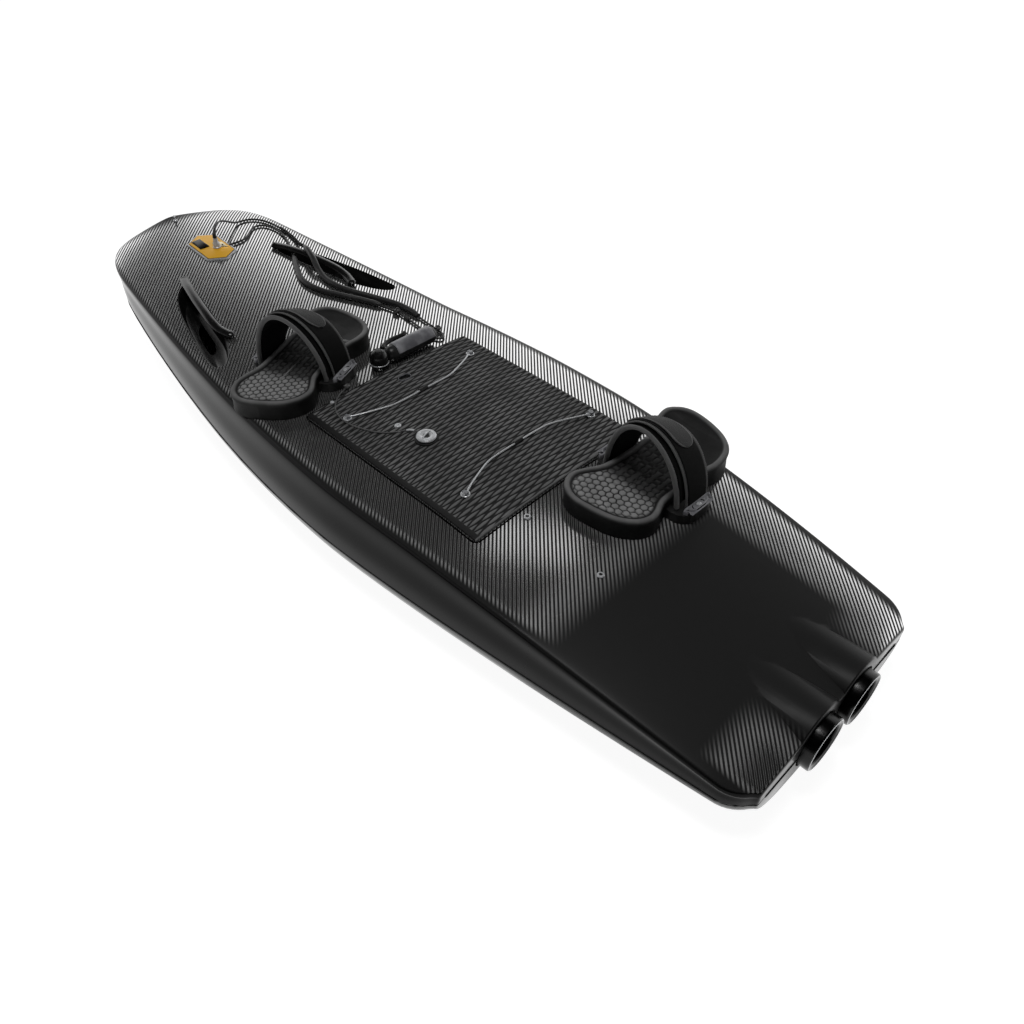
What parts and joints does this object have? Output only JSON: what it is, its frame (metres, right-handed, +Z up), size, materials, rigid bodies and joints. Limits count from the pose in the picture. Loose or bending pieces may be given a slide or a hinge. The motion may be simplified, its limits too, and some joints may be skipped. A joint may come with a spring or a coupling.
{
  "type": "powered jet board",
  "caption": "Powered water board with strapped foot bindings, lift-off battery hatch, carry handles, tethered hand throttle and water-jet nozzles at the tail.",
  "frame": {"origin": "middle of the length and width, at the lowest point of the hull", "axes": "+X towards the nose, +Y to port, +Z up"},
  "size_m": [1.8016, 0.6016, 0.3406],
  "materials": {
    "carbon": "clear-coated woven carbon laminate",
    "seal_rubber": "plain",
    "eva_foam": "grooved closed-cell foam",
    "pad_rubber": "moulded, satin",
    "liner_foam": "knitted cover over foam",
    "webbing": "woven",
    "steel": "satin",
    "alloy": "satin",
    "grey_plastic": "satin",
    "black_plastic": "satin",
    "gold": "gold anodised",
    "cable_jacket": "smooth jacket",
    "lanyard_cord": "braided"
  },
  "bodies": {
    "board": {"battery_pack": "black_plastic", "carry_handle_port": "carbon", "carry_handle_starboard": "carbon", "deck_plug_aft": "steel", "deck_plug_fore": "steel", "deck_shell": "carbon", "front_base_plate": "black_plastic", "front_bracket_aft": "grey_plastic", "front_bracket_fore": "grey_plastic", "front_footpad": "pad_rubber", "front_screw_aft": "steel", "front_screw_fore": "steel", "front_strap": "webbing", "front_strap_liner": "liner_foam", "front_strap_tab": "webbing", "grip_body": "black_plastic", "grip_cover": "grey_plastic", "grip_head": "black_plastic", "handle_cup_port": "carbon", "handle_cup_starboard": "carbon", "hatch_frame": "black_plastic", "hatch_seal": "seal_rubber", "hull_shell": "carbon", "intake_grate_port": "steel", "intake_grate_starboard": "steel", "jet_nozzle_port": "alloy", "jet_nozzle_starboard": "alloy", "motor_controller": "alloy", "motor_port": "alloy", "motor_starboard": "alloy", "nose_peg": "steel", "pump_housing_port": "alloy", "pump_housing_starboard": "alloy", "rail_gasket": "seal_rubber", "rear_base_plate": "black_plastic", "rear_bracket_aft": "grey_plastic", "rear_bracket_fore": "grey_plastic", "rear_footpad": "pad_rubber", "rear_screw_aft": "steel", "rear_screw_fore": "steel", "rear_strap": "webbing", "rear_strap_liner": "liner_foam", "rear_strap_tab": "webbing", "tether_cable": "cable_jacket", "tether_plate": "gold", "tether_plug": "grey_plastic"},
    "hatch": {"hatch_lid": "carbon", "hatch_pad": "eva_foam", "key_socket": "black_plastic", "eyelet_front_starboard": "alloy", "eyelet_front_port": "alloy", "eyelet_rear_starboard": "alloy", "eyelet_rear_port": "alloy", "stop_lanyard": "lanyard_cord"},
    "bail_front": {"bail_front": "steel"},
    "bail_rear": {"bail_rear": "steel"},
    "stop_key": {"stop_key": "steel"},
    "grip_trigger": {"grip_trigger": "black_plastic"},
    "impeller_port": {"impeller_port": "steel"},
    "impeller_starboard": {"impeller_starboard": "steel"}
  },
  "joints": [
    {"name": "hatch_lift", "type": "slide", "parent": "board", "child": "hatch", "axis": [0, 0, 1], "range_m": [0, 0.12]},
    {"name": "bail_front_swing", "type": "hinge", "parent": "hatch", "child": "bail_front", "pos_m": [0.027, 0, 0.19888], "axis": [0, 1, 0], "range_deg": [0, 100]},
    {"name": "bail_rear_swing", "type": "hinge", "parent": "hatch", "child": "bail_rear", "pos_m": [-0.27, 0, 0.19901], "axis": [0, -1, 0], "range_deg": [0, 100]},
    {"name": "stop_key_pull", "type": "slide", "parent": "hatch", "child": "stop_key", "axis": [0, 0, 1], "range_m": [0, 0.03]},
    {"name": "throttle_squeeze", "type": "hinge", "parent": "board", "child": "grip_trigger", "pos_m": [0.1383, -0.022, 0.2159], "axis": [0, 0, -1], "range_deg": [0, 9], "stiffness_Nm_per_rad": 0.3},
    {"name": "impeller_port_spin", "type": "hinge", "parent": "board", "child": "impeller_port", "pos_m": [-0.8, 0.052, 0.083], "axis": [1, 0, 0], "continuous": true},
    {"name": "impeller_starboard_spin", "type": "hinge", "parent": "board", "child": "impeller_starboard", "pos_m": [-0.8, -0.052, 0.083], "axis": [1, 0, 0], "continuous": true}
  ]
}
